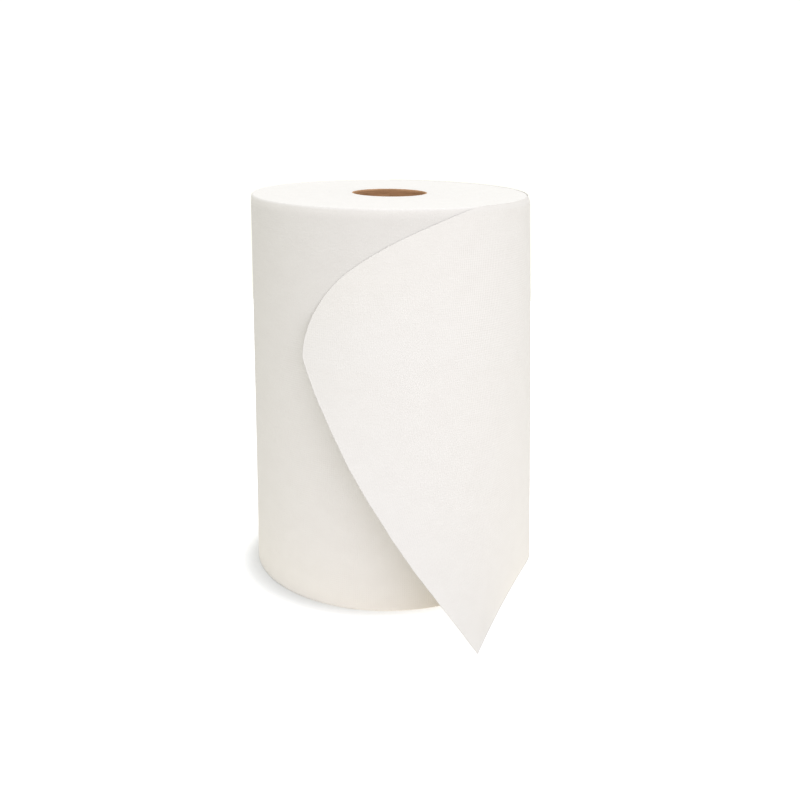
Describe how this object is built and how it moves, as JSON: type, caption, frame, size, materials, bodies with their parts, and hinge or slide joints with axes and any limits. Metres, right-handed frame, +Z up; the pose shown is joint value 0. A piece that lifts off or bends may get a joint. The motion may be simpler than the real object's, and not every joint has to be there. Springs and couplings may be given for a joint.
{
  "type": "paper towel roll",
  "caption": "Hardwound paper towel roll standing on end, wound on an open cardboard core, its loose outer turn flaring off the front down to a pointed corner.",
  "frame": {"origin": "on the roll's axis, in the plane of the end that it stands on", "axes": "+Z up along the core; -Y is the front, where the loose end of the sheet stands off; +X is to the right seen from the front"},
  "size_m": [0.1545, 0.1864, 0.2032],
  "materials": {
    "towel_paper": "matte, finely embossed, slightly warm white",
    "core_board": "matte kraft brown"
  },
  "bodies": {
    "root": {"towel": "towel_paper", "core": "core_board"}
  },
  "joints": []
}
